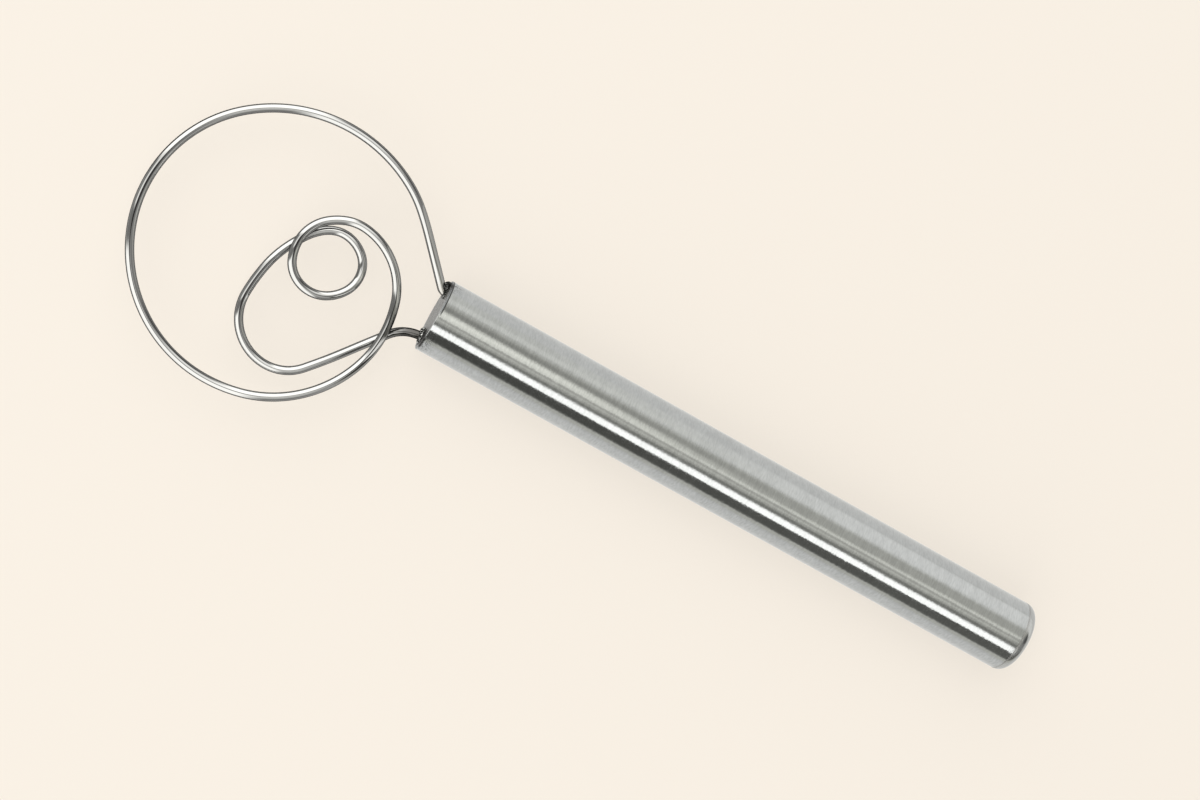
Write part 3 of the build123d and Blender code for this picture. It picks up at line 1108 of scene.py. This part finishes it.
@dataclass
class WeldBead:
    """One of the two rough beads that hold the wire, made from its plain solid.

    Its ripples and grit are pushed out only in front of the plate, where the bead is free.
    """

    name: str
    node: str
    bare_share: float
    smoked_share: float = 0.0
    merge: float = 0.001
    voxel: float = 0.09
    ripple: float = 0.24
    ripple_scale: float = 1100.0
    grit: float = 0.09
    grit_scale: float = 3400.0
    free_from: float = -0.06

    def tree(self) -> GeometryTree:
        """Makes the tree that pushes a bead's skin out and in like frozen metal.

        Returns:
            The tree, with the two depths and the material as inputs.
        """
        made = GeometryTree("bead_ripples")
        nodes = made.nodes
        ripple = made.input("Ripple", "Float")
        grit = made.input("Grit", "Float")
        material = made.input("Material", "Material")
        place = nodes.add("GeometryNodeInputPosition").outputs["Position"]
        push = None
        for depth, scale in ((ripple, self.ripple_scale), (grit, self.grit_scale)):
            lumps = nodes.math("SUBTRACT", nodes.noise(place, scale, 2.0), 0.5)
            part = nodes.times(lumps, depth)
            push = part if push is None else nodes.plus(push, part)
        x = nodes.split(place)[0]
        free = nodes.math("LESS_THAN", x, self.free_from * MM)
        along = nodes.add("ShaderNodeVectorMath", operation="SCALE")
        nodes.feed(along.inputs[0], nodes.add("GeometryNodeInputNormal").outputs["Normal"])
        nodes.feed(along.inputs["Scale"], nodes.times(push, free))
        moved = nodes.add("GeometryNodeSetPosition")
        nodes.feed(moved.inputs["Geometry"], made.source.outputs["Geometry"])
        nodes.feed(moved.inputs["Offset"], along.outputs["Vector"])
        made.end(moved.outputs["Geometry"], material)
        return made

    def build(self) -> bpy.types.Object:
        """Makes the bead and puts it in the place of its node.

        Returns:
            The bead.
        """
        mesh = bpy.data.meshes.new(self.name)
        work = bmesh.new()
        work.from_mesh(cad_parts[self.node].data)
        bmesh.ops.remove_doubles(work, verts=work.verts, dist=self.merge * MM)
        work.to_mesh(mesh)
        work.free()
        bead = put(self.name, mesh)
        remesh = bead.modifiers.new("even_skin", "REMESH")
        remesh.mode = "VOXEL"
        remesh.voxel_size = self.voxel * MM
        settle(bead)
        crust = RawBead(f"{self.name}_crust", self.bare_share, self.smoked_share).build()
        self.tree().run(bead, Ripple=self.ripple * MM, Grit=self.grit * MM, Material=crust)
        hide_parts(self.node)
        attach(bead, BODY)
        LOG.info("%s: %d faces", self.name, len(bead.data.polygons))
        return bead


@dataclass
class TubeHandle:
    """The tube, its two caps and its two ground seams, all carried over from the frame.

    The burnt spots, and the spots on the plate where a dark reflection is painted, are given by their Y and
    Z on the handle's front face.
    """

    hole_offset: float = 8.2
    burnt_rim: tuple[Pair, ...] = ((11.2, 5.8), (-8.6, 9.3), (-9.8, 8.1), (-10.9, 6.5))
    # Places of the painted dark reflection on the front plate.
    plate_dark_reflection_spots: tuple[Pair, ...] = ((-9.6, 0.0), (-7.6, -2.5), (-7.4, 3.5), (-6.8, 9.0))

    def build(self) -> None:
        """Gives each node of the handle its finish."""
        lower_weld = Vector((0.0, -self.hole_offset, 0.0)) * MM
        burnt = tuple(Vector((0.0, *spot)) * MM for spot in self.burnt_rim)
        dark_reflection_spots = tuple(Vector((0.0, *spot)) * MM for spot in self.plate_dark_reflection_spots)
        dress("handle_tube", BrushedTube().build(burnt))
        dress("front_cap", TurnedPlate("front_plate").build((lower_weld,), dark_reflection_spots))
        cup = TurnedPlate(
            "rear_cup",
            colour=(0.52, 0.53, 0.53),
            edge=(1.0, 1.0, 1.0),
            roughness=(0.15, 0.25),
            ring_depth=0.000002,
            stain_share=0.12,
        )
        dress("rear_cap", cup.build())
        dress("front_seam_weld", GroundSeam("front_seam").build())
        pale_seam = GroundSeam("rear_seam", colour=(0.48, 0.48, 0.48), dark=(0.4, 0.4, 0.4))
        dress("rear_seam_weld", pale_seam.build())


@dataclass(frozen=True)
class Panel:
    """One softbox, card or flag, laid out on the tent, the arch or the floor card.

    It spans a range of each of its layout's two measures. Each soft pair says over how much
    of that measure its two edges fade, and the slant shifts the first range as the second
    measure grows.
    """

    name: str
    layout: Layout
    first: Range
    second: Range
    level: float
    first_soft: Pair = (8.0, 8.0)
    second_soft: Pair = (8.0, 8.0)
    tint: Colour = CLOTH
    share: float = 1.0
    slant: float = 0.0

    def mask(self, nodes: Nodes, ways: dict[str, Socket]) -> Socket:
        """How much of the panel shows at each place of the cloth.

        Args:
            nodes: The cloth's node helper.
            ways: The cloth's measures, by name.

        Returns:
            From 0 outside the panel to its share inside it.
        """
        names = self.layout.value
        edges = zip(names, (self.first, self.second), (self.first_soft, self.second_soft))
        whole: Socket | float = self.share
        for name, (low, high), (rise, fall) in edges:
            value = nodes.math("SUBTRACT", ways[name], (low + high) / 2)
            if name == names[0] and self.slant:
                value = nodes.math("SUBTRACT", value, nodes.times(ways[names[1]], self.slant))
            if name == "bearing":
                value = nodes.math("WRAP", value, 180.0, -180.0)
            half = (high - low) / 2
            enter = nodes.span(value, (-half - rise / 2, -half + rise / 2), RISING, smooth=True)
            leave = nodes.span(value, (half - fall / 2, half + fall / 2), FALLING, smooth=True)
            whole = nodes.times(nodes.times(enter, leave), whole)
        return whole


@dataclass
class LitCloth:
    """Cloth or card that glows, with brighter and darker panels, each over those before."""

    level: float
    tint: Colour
    panels: tuple[Panel, ...]

    def measure(self, nodes: Nodes, place: Socket) -> dict[str, Socket]:
        """Measures a place on the cloth.

        Args:
            nodes: The cloth's node helper.
            place: The place.

        Returns:
            The measures that the panels' layouts use, by name.
        """
        raise NotImplementedError

    def cloth(self, name: str) -> bpy.types.Material:
        """Makes the glowing material.

        Args:
            name: The material's name.

        Returns:
            The material.
        """
        material, nodes = blank_material(name)
        ways = self.measure(nodes, nodes.add("ShaderNodeTexCoord").outputs["Object"])
        colour: Socket | Colour = tuple(self.level * part for part in self.tint)
        for panel in self.panels:
            shade = tuple(panel.level * part for part in panel.tint)
            colour = nodes.mix(panel.mask(nodes, ways), colour, shade)
        glow = nodes.add("ShaderNodeEmission")
        nodes.feed(glow.inputs["Color"], colour)
        output = nodes.add("ShaderNodeOutputMaterial")
        nodes.feed(output.inputs["Surface"], glow.outputs["Emission"])
        material.cycles.emission_sampling = "NONE"
        return material


def level_square(name: str, half: float, level: float) -> bpy.types.Mesh:
    """Makes a level square round the origin.

    Args:
        name: The mesh's name.
        half: Half its side, in millimetres.
        level: Its height, in millimetres.

    Returns:
        The mesh.
    """
    corners = [(-half, -half), (half, -half), (half, half), (-half, half)]
    mesh = bpy.data.meshes.new(name)
    mesh.from_pydata([(x * MM, y * MM, level * MM) for x, y in corners], [], [(0, 1, 2, 3)])
    return mesh


def mirror_only(card: bpy.types.Object) -> None:
    """Makes a card that only reflections show.

    Args:
        card: The card.
    """
    card.visible_camera = False
    card.visible_diffuse = False
    card.visible_shadow = False
    card.visible_transmission = False


@dataclass
class LightTent(LitCloth):
    """A dome of white cloth over the whisk, with its softboxes and flags."""

    radius: float = 2900.0
    level: float = 0.50
    tint: Colour = CLOTH
    panels: tuple[Panel, ...] = (
        Panel("right_glow", Layout.COMPASS, (-40, 20), (50, 84), 1.0, (20, 20), (16, 16)),
        Panel("dark_corner", Layout.COMPASS, (50, 86), (50, 112), 0.16, (14, 14), (14, 12)),
        Panel("lower_corner", Layout.COMPASS, (285, 322), (8, 50), 1.1, (10, 24), (8, 18)),
        Panel("upper_corner", Layout.COMPASS, (68, 98), (8, 54), 2.1, (22, 4), (10, 14)),
        Panel("upper_softbox", Layout.COMPASS, (96, 169), (11, 88), 3.2, (12, 8), (8, 6)),
        Panel("upper_skirt", Layout.COMPASS, (166, 192), (15, 52), 2.1, (6, 6), (8, 20)),
        Panel("lower_softbox", Layout.COMPASS, (207, 288), (13, 94), 2.8, (9, 14), (8, 6)),
        Panel("tent_gap", Layout.COMPASS, (192, 205), (14, 100), 0.42, (6, 8), (10, 10)),
        Panel("overhead_cross", Layout.LENGTHWAYS, (-14, 14), (-15, 11), 1.95, (8, 8), (10, 8)),
        Panel("camera_body", Layout.LENGTHWAYS, (-6.5, 3), (-21, 1), 0.06, (6, 4), (8, 3)),
        Panel("camera_arm", Layout.LENGTHWAYS, (-4, 4.5), (-1, 27), 0.09, (4, 4), (3, 12)),
    )

    def measure(self, nodes: Nodes, place: Socket) -> dict[str, Socket]:
        """Measures a direction from the dome's middle, in degrees.

        Args:
            nodes: The cloth's node helper.
            place: The place on the cloth.

        Returns:
            Its bearing from +X, its angle from straight up, its turn round the handle and
            its lean towards the handle's rear, by name.
        """
        away = nodes.add("ShaderNodeVectorMath", operation="NORMALIZE")
        nodes.feed(away.inputs[0], place)
        x, y, z = nodes.split(away.outputs["Vector"])
        degrees = 180 / math.pi
        return {
            "bearing": nodes.times(nodes.math("ARCTAN2", y, x), degrees),
            "height": nodes.times(nodes.math("ARCCOSINE", z), degrees),
            "turn": nodes.times(nodes.math("ARCTAN2", y, z), degrees),
            "lean": nodes.times(nodes.math("ARCSINE", x), degrees),
        }

    def build(self) -> None:
        """Makes the dome and lights it."""
        mesh = bpy.data.meshes.new("light_tent")
        work = bmesh.new()
        bmesh.ops.create_uvsphere(work, u_segments=64, v_segments=32, radius=self.radius * MM)
        work.to_mesh(mesh)
        work.free()
        mesh.materials.append(self.cloth("tent_cloth"))
        tent = put("light_tent", mesh)
        tent.visible_camera = False


@dataclass
class CardArch(LitCloth):
    """An arch of cards close over the handle, which only its reflections show.

    A panel's turn is that of the light which the handle throws up to the camera.
    """

    radius: float = 45.0
    handle_radius: float = 12.7
    front: float = -6.0
    rear: float = 380.0
    foot_level: float = -12.4
    steps: int = 96
    level: float = 0.63
    tint: Colour = WARM_CLOTH
    panels: tuple[Panel, ...] = (
        Panel("left_wall", Layout.ARCH, (-98, -72), (-90, 500), 0.73, (2, 2), tint=WARM_CLOTH),
        Panel("left_skirt", Layout.ARCH, (-190, -97), (-90, 500), 0.905, (2, 6)),
        Panel("left_foot", Layout.ARCH, (-98, -91), (-90, 500), 0.82, (6, 2)),
        Panel("right_wall", Layout.ARCH, (50, 98), (-90, 500), 0.88, (20, 2), tint=MILD_CLOTH, slant=-0.035),
        Panel("right_gain", Layout.ARCH, (50, 98), (100, 500), 1.12, (20, 2), (200, 8), slant=-0.035),
        Panel("right_ridge", Layout.ARCH, (54, 69), (-90, 110), 1.03, (7, 8), (8, 140), MILD_CLOTH),
        Panel("right_foot", Layout.ARCH, (89, 190), (-90, 500), 0.905, (16, 2)),
        Panel(
            "grey_band", Layout.ARCH, (25.2, 40.5), (-90, 95), 0.42, (8, 12), (8, 170), WARM_CLOTH,
            slant=-0.03,
        ),
        Panel("top_ridge", Layout.ARCH, (-8.5, -3.5), (-90, 500), 0.84, (4, 3), tint=WARM_CLOTH),
        Panel("top_glow", Layout.ARCH, (3, 21.8), (-90, 88), 1.42, (3, 17), (8, 130), WARM_CLOTH),
        Panel("top_edge", Layout.ARCH, (3, 11), (-90, 500), 1.18, (3, 8), (8, 8), WARM_CLOTH, 0.78),
        Panel("grey_flag", Layout.ARCH, (-32, -15), (-90, 500), 0.31, (2, 7), tint=WARM_CLOTH),
        Panel("black_flag", Layout.ARCH, (-77, -40), (-90, 500), 0.105, (8, 2), tint=WARM_CLOTH),
        Panel("black_gain", Layout.ARCH, (-77, -40), (110, 500), 0.17, (8, 2), (260, 8), WARM_CLOTH),
        Panel("strip_light", Layout.ARCH, (-44.6, -25.6), (-90, 243), 2.05, (1, 9), (8, 3), slant=-0.009),
        Panel("rear_shade", Layout.ARCH, (-56, 24), (244, 500), 0.36, (10, 10), (3, 8)),
        Panel("rear_flag", Layout.ARCH, (-3, 38), (254, 335), 0.12, (10, 14), (10, 50)),
    )

    def measure(self, nodes: Nodes, place: Socket) -> dict[str, Socket]:
        """Measures a place on the arch by the light that the handle throws up from it.

        The light meets the handle half of its turn round from the top, which moves its turn
        away from the angle of the place. Two rounds bring the turn close enough.

        Args:
            nodes: The cards' node helper.
            place: The place on the arch.

        Returns:
            The turn in degrees, and the reach along the handle in millimetres, by name.
        """
        x, y, z = nodes.split(place)
        at = nodes.times(nodes.math("ARCTAN2", y, z), 180 / math.pi)
        apart = math.degrees(self.handle_radius / self.radius)
        turn = at
        for _ in range(2):
            half = nodes.times(turn, math.pi / 360)
            turn = nodes.plus(at, nodes.times(nodes.math("SINE", half), apart))
        return {"turn": turn, "reach": nodes.math("DIVIDE", x, MM)}

    def build(self) -> None:
        """Makes the arch and lights it."""
        foot = math.acos(self.foot_level / self.radius)
        turns = [foot * (2 * step / self.steps - 1) for step in range(self.steps + 1)]
        points = [
            Vector((end, self.radius * math.sin(turn), self.radius * math.cos(turn))) * MM
            for turn in turns
            for end in (self.front, self.rear)
        ]
        faces = [(2 * step, 2 * step + 1, 2 * step + 3, 2 * step + 2) for step in range(self.steps)]
        mesh = bpy.data.meshes.new("card_arch")
        mesh.from_pydata(points, [], faces)
        mesh.materials.append(self.cloth("arch_cards"))
        mirror_only(put("card_arch", mesh))


@dataclass
class FloorCard(LitCloth):
    """A pale card close over the floor, which only reflections show."""

    height: float = -12.5
    half_size: float = 500.0
    level: float = 0.905
    tint: Colour = CLOTH
    panels: tuple[Panel, ...] = (
        # The darker panels under the head and under the handle are painted shade and a painted shadow of the
        # handle, as reflections see the floor.
        Panel("shade_under_head", Layout.FLOOR, (-180, -9), (-120, 120), 0.55, (30, 8), (60, 60)),
        Panel("left_shade", Layout.FLOOR, (-280, -106), (0, 100), 0.22, (60, 8), (20, 50)),
        Panel("shadow_under_handle", Layout.FLOOR, (1, 233), (-5, 5), 0.2, (6, 6), (12, 12)),
    )

    def measure(self, nodes: Nodes, place: Socket) -> dict[str, Socket]:
        """Reach along the handle and distance to its side, in millimetres."""
        x, y, _ = nodes.split(place)
        return {"reach": nodes.math("DIVIDE", x, MM), "side": nodes.math("DIVIDE", y, MM)}

    def build(self) -> None:
        """Makes the card and lights it."""
        mesh = level_square("floor_card", self.half_size, self.height)
        mesh.materials.append(self.cloth("floor_card"))
        mirror_only(put("floor_card", mesh))


@dataclass
class Studio:
    """The paper floor, the room round the tent and the camera."""

    floor_level: float = -12.7
    floor_size: float = 6000.0
    camera_place: tuple[float, float, float] = (-73.18, 2.13, 738.65)
    camera_tilt: float = 10.4
    camera_roll: float = 29.12
    camera_lens: float = 67.5
    camera_sensor: float = 36.0
    camera_clip: float = 10.0

    def floor(self) -> None:
        """Makes the pale floor."""
        mesh = level_square("floor", self.floor_size / 2, self.floor_level)
        mesh.materials.append(Paper().build())
        put("floor", mesh)

    def world(self) -> None:
        """Makes the room outside the tent as pale as the floor."""
        world = bpy.data.worlds.new("studio")
        world.use_nodes = True
        background = world.node_tree.nodes["Background"]
        background.inputs["Color"].default_value = (*Paper().colour, 1.0)
        background.inputs["Strength"].default_value = 1.0
        bpy.context.scene.world = world

    def camera(self) -> None:
        """Places the camera at the photograph's view."""
        tilt = math.radians(self.camera_tilt)
        roll = math.radians(self.camera_roll)
        along = Vector((math.cos(tilt), 0, math.sin(tilt)))
        across = Vector((0, 1, 0))
        right = along * math.cos(roll) + across * math.sin(roll)
        up = across * math.cos(roll) - along * math.sin(roll)
        back = right.cross(up)
        lens = bpy.data.cameras.new("camera")
        lens.lens = self.camera_lens
        lens.sensor_width = self.camera_sensor
        lens.clip_start = self.camera_clip * MM
        camera = put("camera", lens)
        turned = Matrix((right, up, back)).transposed().to_4x4()
        camera.matrix_world = Matrix.Translation(Vector(self.camera_place) * MM) @ turned
        bpy.context.scene.camera = camera

    def build(self) -> None:
        """Sets up the whole studio."""
        self.floor()
        self.world()
        for light in (LightTent(), CardArch(), FloorCard()):
            light.build()
        self.camera()
        bpy.context.scene.view_settings.view_transform = "Standard"


def main() -> None:
    """Builds the whisk's looks and the studio, in order."""
    logging.basicConfig(level=logging.INFO, format="%(name)s: %(message)s")
    Studio().build()
    TubeHandle().build()
    WireHead().build()
    WeldBead("upper_bead", "wire_weld_upper", bare_share=0.09, smoked_share=0.6).build()
    WeldBead("lower_bead", "wire_weld_lower", bare_share=0.26).build()


if __name__ == "__main__":
    main()
